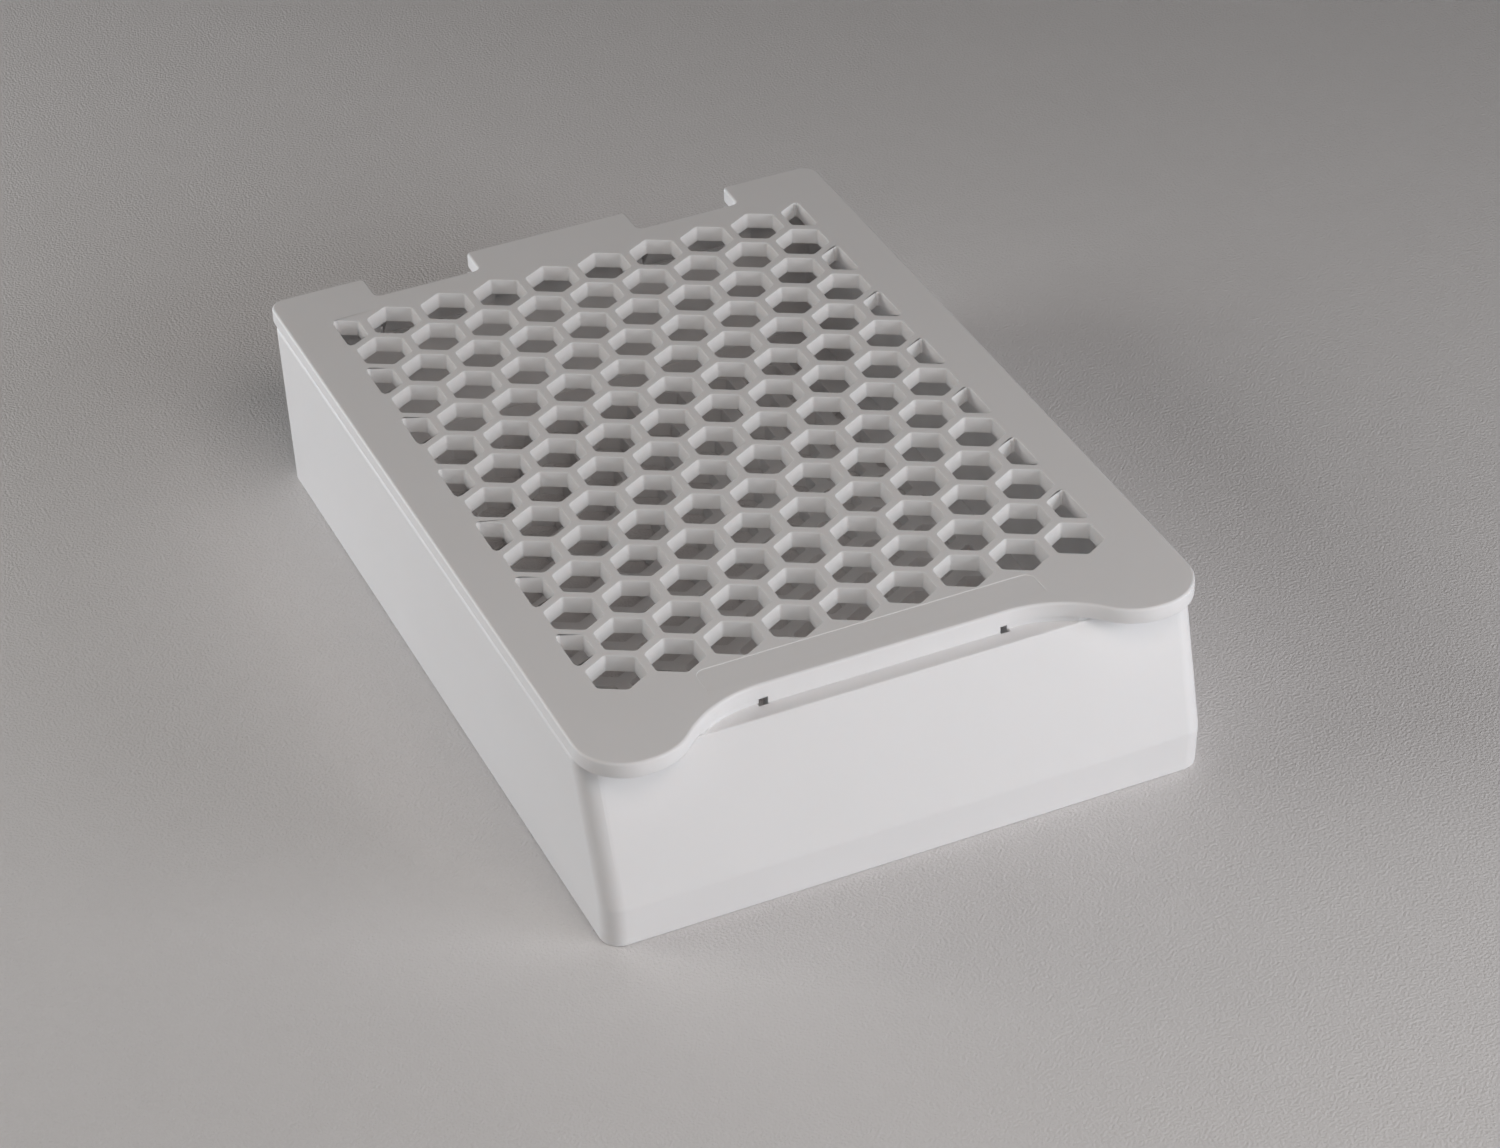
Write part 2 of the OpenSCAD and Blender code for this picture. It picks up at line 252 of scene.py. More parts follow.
def block(name, low, high, flare=0.0, flare_z=0.0):
    """A box that widens by a flare above a height, so that it leaves a softened edge there."""
    def ring(z, grow):
        x0, y0, x1, y1 = low[0] - grow, low[1] - grow, high[0] + grow, high[1] + grow
        return [(x0, y0, z), (x1, y0, z), (x1, y1, z), (x0, y1, z)]

    if flare:
        return loft(name, [ring(low[2], 0), ring(flare_z - flare, 0), ring(flare_z + flare, 2 * flare)])
    return loft(name, [ring(low[2], 0), ring(high[2], 0)])


def settle(made):
    """Turns an object's modifiers into plain mesh."""
    seen = made.evaluated_get(bpy.context.evaluated_depsgraph_get())
    mesh = bpy.data.meshes.new_from_object(seen)
    made.modifiers.clear()
    made.data = mesh
    return made


def combine(target, operation, others):
    """Joins solids to the target, cuts them from it or keeps what they share, and uses them up."""
    for other in others:
        step = target.modifiers.new(other.name, "BOOLEAN")
        step.operation = operation
        step.solver = "MANIFOLD"
        step.object = other
    settle(target)
    for other in others:
        bpy.data.objects.remove(other)
    return target


def soften(made, width, steps=2):
    """Rounds every sharp edge of a simple solid."""
    bevel = made.modifiers.new("edges", "BEVEL")
    bevel.width = width
    bevel.segments = steps
    bevel.limit_method = "ANGLE"
    bevel.angle_limit = math.radians(35)
    return settle(made)


def finish_piece(made, material, node, body):
    """Gives a moulding its material and smooth faces, and puts it in place of its node."""
    made.data.materials.clear()
    made.data.materials.append(material)
    made.data.shade_smooth()
    made.data.set_sharp_from_angle(angle=math.radians(34))
    weighted = made.modifiers.new("even faces", "WEIGHTED_NORMAL")
    weighted.keep_sharp = True
    settle(made)
    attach(made, body)
    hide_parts(node)
    return made


# ---- Honeycomb ----


def hole_section(width, corner_r, grow, low_x=None):
    """A hexagon with rounded corners, points fore and aft, cut straight at low_x if that is given."""
    corner = width / math.sqrt(3)
    points = [(corner * math.sin(a), corner * math.cos(a)) for a in (math.radians(60 * i) for i in range(6))]
    if low_x is not None:
        slope = (points[1][1] - points[0][1]) / points[1][0]
        cut_y = points[0][1] + slope * abs(low_x)
        points = [(-x, y) for x, y in points if x >= 0] + [(low_x, -cut_y), (low_x, cut_y)]
        # In order round a point inside the half that is left
        points.sort(key=lambda p: -math.atan2(p[1], p[0] + width / 4))
    section = []
    for i, here in enumerate(points):
        before = (Vector(points[i - 1]) - Vector(here)).normalized()
        after = (Vector(points[(i + 1) % len(points)]) - Vector(here)).normalized()
        half = before.angle(after) / 2
        inward = (before + after).normalized()
        centre = Vector(here) + inward * corner_r / math.sin(half)
        turn = math.pi / 2 - half
        for k in (-1, 0, 1):
            way = Matrix.Rotation(-k * turn, 2) @ -inward
            section.append(centre + way * (corner_r + grow))
    return section


def punch(name, width, taper, sizes, low_z, high_z, low_x=None):
    """The punch of one hole: it tapers downwards and widens at both faces, which leaves rounded rims."""
    top, foot = rounding(sizes.rim_r, 2), rounding(sizes.foot_r, 2)
    levels = [(low_z - sizes.foot_r, foot[-1][0] - taper)]
    levels += [(low_z + down, inset - taper) for inset, down in reversed(foot)]
    levels += [(high_z - down, inset) for inset, down in top]
    levels += [(high_z + sizes.rim_r, top[-1][0])]
    loops = []
    for z, grow in levels:
        section = hole_section(width, sizes.corner_r, grow, low_x)
        loops.append([(p.x, p.y, z) for p in section])
    return loft(name, loops)


def add(tree, kind, inputs=(), **settings):
    """Adds a node with its settings, and fills its inputs with values or links."""
    node = tree.nodes.new(kind)
    for key, value in settings.items():
        setattr(node, key, value)
    for key, value in dict(inputs).items():
        if isinstance(value, bpy.types.NodeSocket):
            tree.links.new(value, node.inputs[key])
        else:
            node.inputs[key].default_value = value
    return node


def maths(tree, operation, *values):
    """The result of a Math node."""
    return add(tree, "ShaderNodeMath", enumerate(values), operation=operation).outputs[0]


def honeycomb_tree():
    """Geometry nodes that punch staggered rows of holes, with a narrower hole at both ends of a short row."""
    if "Honeycomb" in bpy.data.node_groups:
        return bpy.data.node_groups["Honeycomb"]
    tree = bpy.data.node_groups.new("Honeycomb", "GeometryNodeTree")
    socket = tree.interface.new_socket
    socket("Plate", in_out="INPUT", socket_type="NodeSocketGeometry")
    for name in ("Pitch", "Middle"):
        socket(name, in_out="INPUT", socket_type="NodeSocketFloat")
    for name in ("Rows", "Columns"):
        socket(name, in_out="INPUT", socket_type="NodeSocketInt")
    for name in ("Punch", "End punch"):
        socket(name, in_out="INPUT", socket_type="NodeSocketObject")
    socket("Material", in_out="INPUT", socket_type="NodeSocketMaterial")
    socket("Plate", in_out="OUTPUT", socket_type="NodeSocketGeometry")
    given = add(tree, "NodeGroupInput").outputs
    index = add(tree, "GeometryNodeInputIndex").outputs[0]
    pitch, rows, columns = given["Pitch"], given["Rows"], given["Columns"]

    def row_y(row):
        steps = maths(tree, "SUBTRACT", row, maths(tree, "DIVIDE", maths(tree, "SUBTRACT", rows, 1.0), 2.0))
        run = maths(tree, "MULTIPLY", steps, maths(tree, "MULTIPLY", pitch, math.sqrt(3) / 2))
        return maths(tree, "ADD", run, given["Middle"])

    def punches(count, x, y, keep, source, turn):
        place = add(tree, "ShaderNodeCombineXYZ", {"X": x, "Y": y}).outputs[0]
        points = add(tree, "GeometryNodePoints", {"Count": count, "Position": place}).outputs[0]
        shape = add(tree, "GeometryNodeObjectInfo", {"Object": source}).outputs["Geometry"]
        spin = add(tree, "ShaderNodeCombineXYZ", {"Z": turn}).outputs[0]
        placed = add(
            tree, "GeometryNodeInstanceOnPoints",
            {"Points": points, "Selection": keep, "Instance": shape, "Rotation": spin},
        ).outputs[0]
        return add(tree, "GeometryNodeRealizeInstances", {"Geometry": placed}).outputs[0]

    # Whole holes: every second row is shifted by half a pitch and has one hole fewer
    row = maths(tree, "FLOOR", maths(tree, "DIVIDE", index, columns))
    column = maths(tree, "MODULO", index, columns)
    short = maths(tree, "MODULO", row, 2.0)
    middle = maths(tree, "DIVIDE", maths(tree, "SUBTRACT", columns, 1.0), 2.0)
    step = maths(tree, "ADD", maths(tree, "SUBTRACT", column, middle), maths(tree, "MULTIPLY", short, 0.5))
    last = maths(tree, "COMPARE", column, maths(tree, "SUBTRACT", columns, 1.0), 0.1)
    whole = punches(
        maths(tree, "MULTIPLY", rows, columns), maths(tree, "MULTIPLY", step, pitch), row_y(row),
        maths(tree, "SUBTRACT", 1.0, maths(tree, "MULTIPLY", last, short)), given["Punch"], 0.0,
    )
    # End holes: one at each end of the short rows, the left one turned half round
    right = maths(tree, "MODULO", index, 2.0)
    side = maths(tree, "SUBTRACT", maths(tree, "MULTIPLY", right, 2.0), 1.0)
    reach = maths(tree, "MULTIPLY", maths(tree, "DIVIDE", columns, 2.0), pitch)
    pair = maths(tree, "FLOOR", maths(tree, "DIVIDE", index, 2.0))
    short_row = maths(tree, "ADD", maths(tree, "MULTIPLY", pair, 2.0), 1.0)
    ends = punches(
        rows, maths(tree, "MULTIPLY", side, reach), row_y(short_row), True, given["End punch"],
        maths(tree, "MULTIPLY", maths(tree, "SUBTRACT", 1.0, right), math.pi),
    )
    cut = add(
        tree, "GeometryNodeMeshBoolean", {"Mesh 1": given["Plate"]},
        operation="DIFFERENCE", solver="MANIFOLD",
    )
    tree.links.new(whole, cut.inputs["Mesh 2"])
    tree.links.new(ends, cut.inputs["Mesh 2"])
    real = add(tree, "GeometryNodeRealizeInstances", {"Geometry": cut.outputs[0]}).outputs[0]
    done = add(tree, "GeometryNodeSetMaterial", {"Geometry": real, "Material": given["Material"]}).outputs[0]
    add(tree, "NodeGroupOutput", {"Plate": done})
    return tree


def perforate(made, width, taper, sizes, low_z, high_z, material):
    """Punches the honeycomb through a solid between two heights."""
    # The end holes are cut off in line with the outer holes of the wide rows
    low_x = -(sizes.pitch - width) / 2
    punches = [
        punch("hole_punch", width, taper, sizes, low_z, high_z),
        punch("end_hole_punch", width, taper, sizes, low_z, high_z, low_x),
    ]
    values = {
        "Pitch": sizes.pitch, "Middle": sizes.middle_y, "Rows": sizes.rows, "Columns": sizes.columns,
        "Punch": punches[0], "End punch": punches[1], "Material": material,
    }
    tree = honeycomb_tree()
    holes = made.modifiers.new("honeycomb", "NODES")
    holes.node_group = tree
    for item in tree.interface.items_tree:
        if item.in_out == "INPUT" and item.name in values:
            holes[item.identifier] = values[item.name]
    settle(made)
    for tool in punches:
        bpy.data.objects.remove(tool)
    return made


# ---- Lid ----


def lid_outline(lid, inset):
    """Outline of the lid seen from above, moved in by an inset: lobes, scallop, tabs and notches."""
    front, rear, side = LID_LOW.y, LID_HIGH.y, LID_HIGH.x
    scallop_y = front + lid.scallop_d
    radii = lid.lobe_r + lid.scallop_r
    lobe = Vector((side - lid.lobe_inset, front + lid.lobe_r))
    run = math.sqrt(lid.scallop_d * (2 * radii - lid.scallop_d))
    hollow = Vector((lobe.x - run, scallop_y - lid.scallop_r))
    bend = math.degrees(math.atan2(lobe.y - hollow.y, lobe.x - hollow.x))
    tab_x = lid.mid_tab_w / 2
    outer_x = tab_x + lid.notch_w
    notch_y = rear - lid.notch_d
    r = lid.tab_r
    half = arc(hollow, lid.scallop_r + inset, 90, bend, 24)
    half += arc(lobe, lid.lobe_r - inset, bend + 180, 270, 20)[1:]
    half += arc((side - lid.corner_r, front + lid.corner_r), lid.corner_r - inset, 270, 360, 24)
    half += arc((side - lid.rear_r, rear - lid.rear_r), lid.rear_r - inset, 0, 90, 8)
    half += arc((outer_x + r, rear - r), r - inset, 90, 180, 4)
    half += arc((outer_x - r, notch_y + r), r + inset, 360, 270, 4)
    half += arc((tab_x + r, notch_y + r), r + inset, 270, 180, 4)
    half += arc((tab_x - r, rear - r), r - inset, 0, 90, 4)
    return half + [(-x, y) for x, y in reversed(half)]


def outline_solid(name, lid, levels):
    """A solid with the lid's outline, moved in by an inset at each of its levels."""
    return loft(name, [[(x, y, z) for x, y in lid_outline(lid, inset)] for z, inset in levels])


def lid_plate(lid, plate_z):
    """The lid's plate with its rounded upper and lower edge."""
    foot = [(plate_z + down, inset) for inset, down in reversed(rounding(lid.foot_r, 3))]
    top = [(LID_HIGH.z - down, inset) for inset, down in rounding(lid.edge_r, 5)]
    return outline_solid("lid_shell", lid, foot + top)


def front_band(lid, tray, plate_z):
    """The thicker band that drops into the front shelf, with the two slits that free the tongue."""
    end_gap, front_gap = 0.2 * MM, 0.15 * MM
    low, high = plate_z - lid.band_t, plate_z + LAP
    inner = BASE_HIGH.x - tray.wall - end_gap
    front = shelf_front(tray) + front_gap
    rear = front + lid.band_d
    band = outline_solid("front_band", lid, [(low, lid.band_inset), (high, lid.band_inset)])
    window = block("band_window", (-inner, front, low - CUT), (inner, rear, high + CUT))
    combine(band, "INTERSECT", [window])
    near, far = lid.tongue_w / 2, lid.tongue_w / 2 + lid.slit_w
    slit_z = BASE_HIGH.z - tray.shelf_drop + lid.slit_h
    slits = [
        block("slit", (x, front - CUT, low - CUT), (x + far - near, rear + CUT, slit_z))
        for x in (-far, near)
    ]
    return combine(band, "DIFFERENCE", slits)


def latch_tongue(lid, tray, plate_z):
    """The tongue, which fills its notch up to the shelf, with the round bead along its foot."""
    edge = LID_LOW.y + lid.scallop_d + HAIR
    face = edge - lid.tongue_proud
    rear = edge + lid.tongue_t
    shelf_z = BASE_HIGH.z - tray.shelf_drop
    bead_r = 0.6 * lid.tongue_t
    foot = plate_z - lid.tongue_h
    bead_top = foot + bead_r + 0.2 * MM
    section = [(edge, plate_z + LAP), (edge, shelf_z), (face, shelf_z), (face, foot + bead_r)]
    section += arc((face + bead_r, foot + bead_r), bead_r, 180, 350, 12)[1:]
    section += [(rear, bead_top), (rear, plate_z + LAP)]
    return bar("latch_tongue", section, -lid.tongue_w / 2, lid.tongue_w / 2)


def hinge_clip(lid, middle, plate_z):
    """A round hook that is pressed down over a hinge pin, hung from the edge of a notch."""
    centre = (AXIS.y, AXIS.z)
    notch_y = LID_HIGH.y - lid.notch_d
    top, web_d, web_drop = plate_z + LAP, 1.6 * MM, 0.05 * MM
    # In degrees: half of the mouth at the bore and outside, and where the hook leaves the web
    mouth = 52
    outer_mouth = mouth * lid.clip_bore_r / lid.clip_r
    web_start, web_end = 205, 78
    outside = arc(centre, lid.clip_r, web_start, 270 - outer_mouth, 4)
    bore = arc(centre, lid.clip_bore_r, 270 - mouth, -90 + mouth, 28)
    rest = arc(centre, lid.clip_r, -90 + outer_mouth, web_end, 20)
    section = [(notch_y - web_d, top), *outside, *bore, *rest]
    section += [(notch_y - HAIR, plate_z - web_drop), (notch_y - HAIR, top)]
    left, right = middle - lid.clip_w / 2, middle + lid.clip_w / 2
    return soften(bar("hinge_clip", section, left, right), SOFT)


def name_panel(lid, holes):
    """Punch of the bare panel between the front holes and the scallop, with rounded rear corners."""
    hole_gap, edge_gap, r = 0.2 * MM, 1.05 * MM, 0.9 * MM
    first_row = holes.middle_y - (holes.rows - 1) / 2 * holes.pitch * math.sqrt(3) / 2
    rear = first_row - holes.lid_w / math.sqrt(3) - hole_gap
    front = LID_LOW.y + lid.scallop_d + edge_gap
    half = lid.panel_w / 2
    top = LID_HIGH.z
    # Heights, and how far the punch grows there: its sides lean out above the panel
    levels = ((top - lid.panel_d, -0.05 * MM), (top, 0), (top + CUT, 0.7 * MM))
    loops = []
    for z, grow in levels:
        right = arc((half - r, rear - r), r + grow, 0, 90, 8)
        outline = [(half + grow, front - grow), *right, *((-x, y) for x, y in reversed(right))]
        outline.append((-half - grow, front - grow))
        loops.append([(x, y, z) for x, y in outline])
    return loft("name_panel", loops)


# ---- Base ----


def front_at(tray, z):
    """Y of the tray's front at a height, with a soft bend where the slant meets the skirt."""
    slant = tray.front_lean / (BASE_HIGH.z - tray.skirt_h)
    skirt = tray.skirt_draft / tray.skirt_h
    above = z - tray.skirt_h
    turned = min(max(above / tray.bend_h + 0.5, 0), 1)
    ramp = turned * turned * tray.bend_h / 2 + max(above - tray.bend_h / 2, 0)
    return BASE_LOW.y - skirt * above + (slant + skirt) * ramp


def shelf_front(tray):
    """Y of the front edge of the shelf."""
    return front_at(tray, BASE_HIGH.z - tray.shelf_drop)


def tray_loop(tray, z, inset):
    """The outside of the tray at a height, moved in by an inset."""
    up = 1 - z / BASE_HIGH.z
    front = front_at(tray, z) + inset
    half = BASE_HIGH.x - tray.side_draft * up - inset
    rear = BASE_HIGH.y - tray.rear_draft * up - inset
    least_r = 0.3 * MM
    r = max(tray.corner_r - inset, least_r)
    loop = arc((half - r, front + r), r, -90, 0, 8) + arc((half - r, rear - r), r, 0, 90, 8)
    loop += arc((r - half, rear - r), r, 90, 180, 8) + arc((r - half, front + r), r, 180, 270, 8)
    return [(x, y, z) for x, y in loop]


def tray_form(tray):
    """The outside of the tray as a solid."""
    foot = [(down, inset) for inset, down in reversed(rounding(tray.foot_r, 4))]
    bend = [(tray.skirt_h + (i / 6 - 0.5) * tray.bend_h, 0) for i in range(7)]
    rim = [(BASE_HIGH.z - down, inset) for inset, down in rounding(tray.rim_r, 6)]
    return loft("base_shell", [tray_loop(tray, z, inset) for z, inset in foot + bend + rim])


def tray_hollow(tray):
    """The hollow of the tray as a solid that widens at the rim, less the front shelf."""
    bend = (tray.skirt_h - tray.bend_h / 2, tray.skirt_h + tray.bend_h / 2)
    levels = [(z, tray.wall) for z in (tray.floor_t, *bend)]
    levels += [(BASE_HIGH.z - SOFT, tray.wall), (BASE_HIGH.z + SOFT, tray.wall - 2 * SOFT)]
    hollow = loft("hollow", [tray_loop(tray, z, inset) for z, inset in levels])
    top = BASE_HIGH.z - tray.shelf_drop
    low = top - tray.shelf_t
    rear = shelf_front(tray) + tray.shelf_d
    section = [(BASE_LOW.y - FAR, low), (rear - SOFT, low), (rear, low + SOFT), (rear, top - SOFT)]
    section += [(rear - SOFT, top), (rear - SOFT, top + FAR), (BASE_LOW.y - FAR, top + FAR)]
    shelf = bar("shelf", section, -BASE_HIGH.x - FAR, BASE_HIGH.x + FAR)
    return combine(hollow, "DIFFERENCE", [shelf])


def shelf_step(tray):
    """What the front loses above the shelf, with the rounded front edge of the shelf."""
    top = BASE_HIGH.z - tray.shelf_drop
    lean = math.atan2(tray.front_lean, BASE_HIGH.z - tray.skirt_h)
    r = tray.shelf_r
    # The edge circle touches the shelf and the slanted front
    back = r * math.tan(math.pi / 4 - lean / 2)
    centre = (shelf_front(tray) + back, top - r)
    edge = arc(centre, r, 90, 180 - math.degrees(lean), 5)
    # Below the circle the cut runs out steeply and then away from the front
    end_y, end_z = edge[-1]
    rear = shelf_front(tray) + tray.shelf_d + LAP
    out = end_y - FAR * math.sin(lean) - FAR
    section = [(rear, top), *edge, (end_y - 0.05 * MM, end_z - 0.2 * MM)]
    section += [(out, end_z - 0.3 * MM), (out, top + FAR), (rear, top + FAR)]
    half = BASE_HIGH.x - tray.wall
    return bar("shelf_step", section, -half, half)


def latch_notch(tray):
    """The notch in the shelf that takes the tongue."""
    front = shelf_front(tray) + tray.latch_lip
    top = BASE_HIGH.z - tray.shelf_drop
    half = tray.latch_w / 2
    return block(
        "latch_notch",
        (-half, front, top - tray.shelf_t - CUT), (half, front + tray.shelf_d, top + CUT),
        flare=0.1 * MM, flare_z=top,
    )


def recess(tray, lid, middle):
    """One hinge recess, open at the top and through the rear wall, widening at its outer face."""
    half = tray.recess_w / 2
    low = AXIS.z - lid.clip_r - tray.recess_gap
    front = AXIS.y - tray.lug_r - HAIR
    wall_y = BASE_HIGH.y - 0.03 * MM

    def ring(y, grow):
        x = half + grow
        return [
            (middle - x, y, low - grow), (middle + x, y, low - grow),
            (middle + x, y, BASE_HIGH.z + FAR), (middle - x, y, BASE_HIGH.z + FAR),
        ]

    return loft("recess", [ring(front, 0), ring(wall_y - SOFT, 0), ring(wall_y + FAR, SOFT + FAR)])


def lug(tray, middle):
    """A lug at the end of a recess: round below and in front, square up to the rim."""
    centre = (AXIS.y, AXIS.z)
    section = arc(centre, tray.lug_r, 180, 270, 10)
    inside, top = BASE_HIGH.y - tray.wall / 2, BASE_HIGH.z - 0.02 * MM
    section += [(inside, AXIS.z - tray.lug_r), (inside, top), (AXIS.y - tray.lug_r, top)]
    edge = 0.1 * MM
    return soften(bar("lug", section, middle - tray.lug_t / 2, middle + tray.lug_t / 2), edge)


def crown_cut():
    """What the lid's tabs sweep through behind the hinge axis."""
    radius = BASE_HIGH.z - AXIS.z
    far, half = 4 * MM, 30 * MM
    section = arc((AXIS.y, AXIS.z), radius, 0, 90, 16)
    section += [(AXIS.y, AXIS.z + far), (AXIS.y + far, AXIS.z + far), (AXIS.y + far, AXIS.z)]
    return bar("crown_cut", section, -half, half)


def hinge_pin(tray, middle):
    """A moulded pin across one recess."""
    half = (tray.recess_w + tray.lug_t) / 2
    section = arc((AXIS.y, AXIS.z), tray.pin_r, 0, 360, 40)[:-1]
    return bar("hinge_pin", section, middle - half, middle + half)


# ---- Materials ----


def new_material(name):
    """A material with an empty node tree."""
    material = bpy.data.materials.new(name)
    material.use_nodes = True
    material.node_tree.nodes.clear()
    return material, material.node_tree


def noise(tree, place, size, detail, roughness=0.5):
    """Noise with patches of a size."""
    inputs = {"Vector": place, "Scale": 1 / size, "Detail": detail, "Roughness": roughness}
    return add(tree, "ShaderNodeTexNoise", inputs).outputs["Fac"]


def blend(tree, factor, first, second):
    """A colour between two."""
    inputs = {0: factor, 6: (*first, 1), 7: (*second, 1)}
    return add(tree, "ShaderNodeMix", inputs, data_type="RGBA").outputs[2]


def bumped(tree, height, strength, distance):
    """A normal that follows a height."""
    inputs = {"Height": height, "Strength": strength, "Distance": distance}
    return add(tree, "ShaderNodeBump", inputs).outputs[0]


def moulded_acetal(colours):
    """Injection-moulded acetal: a dense, slightly milky white with a fine spark-eroded matt skin.

    The skin's 0.15 mm grain breaks up reflections, so the eye sees soft sheen and no clear
    highlight. Light enters a fraction of a millimetre, which keeps thin edges and hole walls soft.
    """
    material, tree = new_material("moulded_acetal")
    place = add(tree, "ShaderNodeTexCoord").outputs["Object"]
    # Clouding of the melt, about 9 mm across, between two close whites
    cloud = noise(tree, place, 9 * MM, 3.0)
    tint = blend(tree, cloud, colours.acetal, colours.acetal_shade)
    # Skin of the mould: grain of about 0.15 mm, drawn at 0.3 mm so that it shows
    grain = noise(tree, place, 0.3 * MM, 4.0, 0.6)
    skin = bumped(tree, grain, 0.25, 0.01 * MM)
    # The grain also varies the sheen a little
    sheen = add(tree, "ShaderNodeMapRange", {"Value": grain, 3: 0.42, 4: 0.52})
    shader = add(
        tree, "ShaderNodeBsdfPrincipled",
        {
            "Base Color": tint, "Roughness": sheen.outputs[0], "IOR": 1.48, "Normal": skin,
            "Subsurface Weight": 0.3, "Subsurface Radius": (1.0, 0.9, 0.85),
            "Subsurface Scale": 0.4 * MM,
        },
    )
    add(tree, "ShaderNodeOutputMaterial", {"Surface": shader.outputs[0]})
    return material


def bench_laminate(colours):
    """Pale matt laminate: a plain grey with a fine, low-contrast grain and hardly any sheen."""
    material, tree = new_material("bench_laminate")
    place = add(tree, "ShaderNodeTexCoord").outputs["Object"]
    # Mottle of 6 mm between two close greys, and a fine grain of 0.25 mm
    tint = blend(tree, noise(tree, place, 6 * MM, 6.0, 0.7), colours.bench, colours.bench_grain)
    skin = bumped(tree, noise(tree, place, 0.25 * MM, 2.0), 1.0, 0.11 * MM)
    shader = add(
        tree, "ShaderNodeBsdfPrincipled",
        {"Base Color": tint, "Roughness": 0.7, "Normal": skin, "Specular IOR Level": 0.2},
    )
    add(tree, "ShaderNodeOutputMaterial", {"Surface": shader.outputs[0]})
    return material


# ---- Operators ----


class CASSETTE_OT_lid(Operator):
    """Builds the honeycomb lid with its front band, latch tongue and hinge clips"""

    bl_idname = "cassette.lid"
    bl_label = "Lid"

    def execute(self, context):
        settings = context.scene.cassette
        lid, tray, holes = settings.lid, settings.tray, settings.holes
        plate_z = LID_HIGH.z - lid.plate_t
        middle = lid.mid_tab_w / 2 + lid.notch_w / 2
        shell = lid_plate(lid, plate_z)
        clips = [hinge_clip(lid, side * middle, plate_z) for side in (-1, 1)]
        parts = [front_band(lid, tray, plate_z), latch_tongue(lid, tray, plate_z), *clips]
        combine(shell, "UNION", parts)
        combine(shell, "DIFFERENCE", [name_panel(lid, holes)])
        material = bpy.data.materials.get("moulded_acetal") or moulded_acetal(settings.colours)
        perforate(shell, holes.lid_w, holes.taper, holes, plate_z, LID_HIGH.z, material)
        finish_piece(shell, material, "lid", "lid")
        return {"FINISHED"}


class CASSETTE_OT_base(Operator):
    """Builds the perforated tray with its shelf, latch notch, hinge recesses, lugs and pins"""

    bl_idname = "cassette.base"
    bl_label = "Base"

    def execute(self, context):
        settings = context.scene.cassette
        lid, tray, holes = settings.lid, settings.tray, settings.holes
        middle = lid.mid_tab_w / 2 + lid.notch_w / 2
        reach = (tray.recess_w + tray.lug_t) / 2
        shell = tray_form(tray)
        combine(shell, "DIFFERENCE", [tray_hollow(tray), shelf_step(tray), latch_notch(tray)])
        combine(shell, "UNION", [lug(tray, a * middle + b * reach) for a in (-1, 1) for b in (-1, 1)])
        combine(shell, "DIFFERENCE", [recess(tray, lid, -middle), recess(tray, lid, middle), crown_cut()])
        combine(shell, "UNION", [hinge_pin(tray, -middle), hinge_pin(tray, middle)])
        material = bpy.data.materials.get("moulded_acetal") or moulded_acetal(settings.colours)
        perforate(shell, holes.floor_w, 0.0, holes, 0.0, tray.floor_t, material)
        finish_piece(shell, material, "base", "base")
        return {"FINISHED"}


class CASSETTE_OT_stage(Operator):
    """Builds the bench top, the lamps and the camera"""

    bl_idname = "cassette.stage"
    bl_label = "Stage"

    def execute(self, context):
        settings = context.scene.cassette
        bench(settings.colours)
        lamps(context.scene)
        camera(context.scene, settings.shot)
        context.scene.view_settings.view_transform = "Standard"
        return {"FINISHED"}


def bench(colours):
    """A wide flat bench top under the cassette."""
    half = 1500 * MM
    bm = bmesh.new()
    bmesh.ops.create_grid(bm, x_segments=2, y_segments=2, size=half)
    top = mesh_object("bench_top", bm)
    top.data.materials.append(bench_laminate(colours))


def lamp(name, azimuth, elevation, height, power, tint):
    """A soft box, as high as stated, that faces the cassette from a direction in degrees."""
    away, width = 350 * MM, 175 * MM
    a, e = math.radians(azimuth), math.radians(elevation)
    towards = Vector((math.sin(a) * math.cos(e), -math.cos(a) * math.cos(e), math.sin(e)))
    light = bpy.data.lights.new(name, "AREA")
    light.shape = "RECTANGLE"
    light.size, light.size_y = width, height
    light.energy = power
    light.color = linear(tint)
    made = bpy.data.objects.new(name, light)
    made.location = towards * away
    made.rotation_euler = towards.to_track_quat("Z", "Y").to_euler()
    bpy.context.scene.collection.objects.link(made)


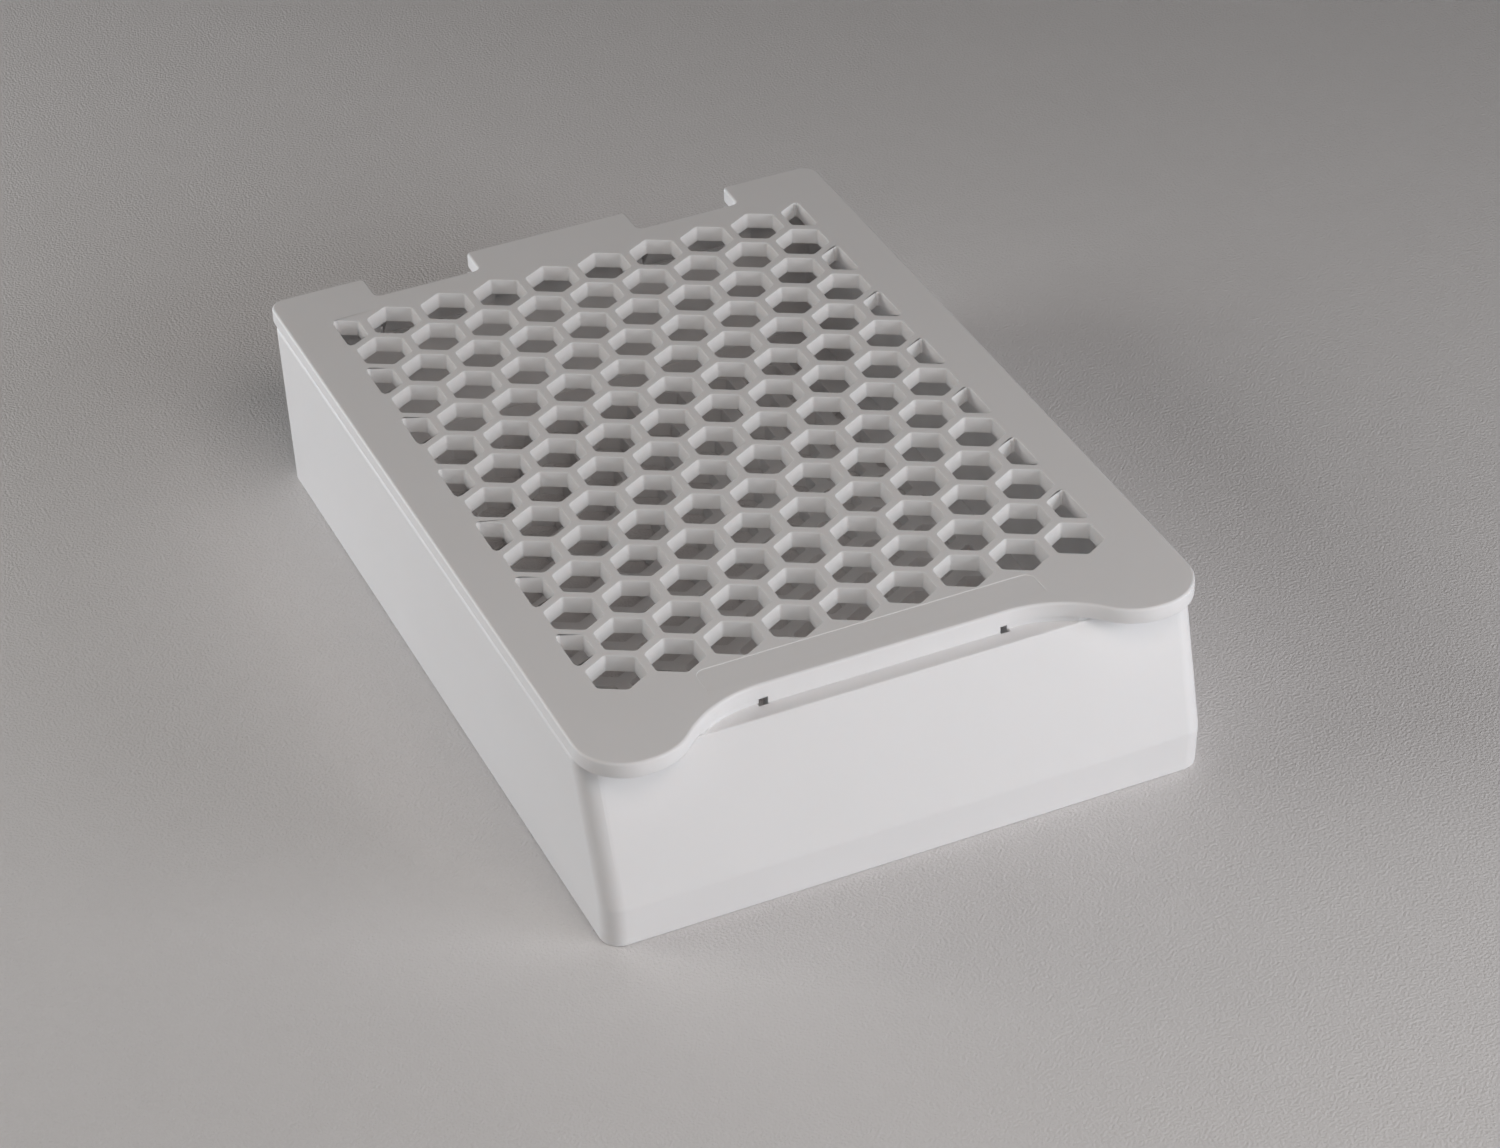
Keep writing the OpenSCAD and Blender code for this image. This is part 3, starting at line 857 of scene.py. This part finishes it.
def lamps(scene):
    """The main soft box in front on the right, one high up in front, three lamps behind on the left.

    Two low strips and a weak box in front fill what the others leave. The room itself is dark.
    """
    lamp("right_soft_box", 40, 18, 0.14, 0.473, "#fcfcff")
    lamp("right_low_strip", 40, 3, 0.035, 0.057, "#e4ecff")
    lamp("front_soft_box", 10, 28, 0.14, 0.077, "#e4fcff")
    lamp("overhead_soft_box", 0, 50, 0.14, 0.264, "#fff3ec")
    lamp("left_soft_box", -110, 28, 0.14, 0.319, "#fdfffe")
    lamp("rear_soft_box", -130, 18, 0.14, 0.126, "#ffeadb")
    lamp("rear_low_strip", -140, 3, 0.035, 0.294, "#e7f3ff")
    world = bpy.data.worlds.new("room")
    world.use_nodes = True
    world.node_tree.nodes["Background"].inputs["Strength"].default_value = 0.0
    scene.world = world


def camera(scene, shot):
    """The camera, turned about its own axis by the roll."""
    a, e = shot.azimuth, shot.elevation
    back = Vector((math.sin(a) * math.cos(e), -math.cos(a) * math.cos(e), math.sin(e)))
    made = bpy.data.objects.new("camera", bpy.data.cameras.new("camera"))
    made.data.lens = shot.lens
    made.data.sensor_width = 36
    made.data.clip_start = 0.01
    turn = back.to_track_quat("Z", "Y").to_matrix() @ Matrix.Rotation(shot.roll, 3, "Z")
    made.matrix_world = Matrix.Translation(Vector(shot.aim) + back * shot.distance) @ turn.to_4x4()
    scene.collection.objects.link(made)
    scene.camera = made


class CASSETTE_PT_panel(Panel):
    """Lists the cassette's pieces in the sidebar"""

    bl_idname = "CASSETTE_PT_panel"
    bl_label = "Tissue cassette"
    bl_space_type = "VIEW_3D"
    bl_region_type = "UI"
    bl_category = "Cassette"

    def draw(self, context):
        settings = context.scene.cassette
        for operator in OPERATORS:
            self.layout.operator(operator.bl_idname)
        for group in (settings.lid, settings.holes, settings.tray, settings.colours, settings.shot):
            box = self.layout.box()
            for name in group.bl_rna.properties.keys():
                if name not in ("rna_type", "name"):
                    box.prop(group, name)


OPERATORS = (CASSETTE_OT_base, CASSETTE_OT_lid, CASSETTE_OT_stage)
CLASSES = (LidSizes, HoleSizes, TraySizes, Colours, Shot, CassetteSettings, *OPERATORS, CASSETTE_PT_panel)


def register():
    for cls in CLASSES:
        bpy.utils.register_class(cls)
    bpy.types.Scene.cassette = PointerProperty(type=CassetteSettings)


def unregister():
    del bpy.types.Scene.cassette
    for cls in reversed(CLASSES):
        bpy.utils.unregister_class(cls)


def main():
    register()
    bpy.ops.cassette.base()
    bpy.ops.cassette.lid()
    bpy.ops.cassette.stage()


if __name__ == "__main__":
    main()
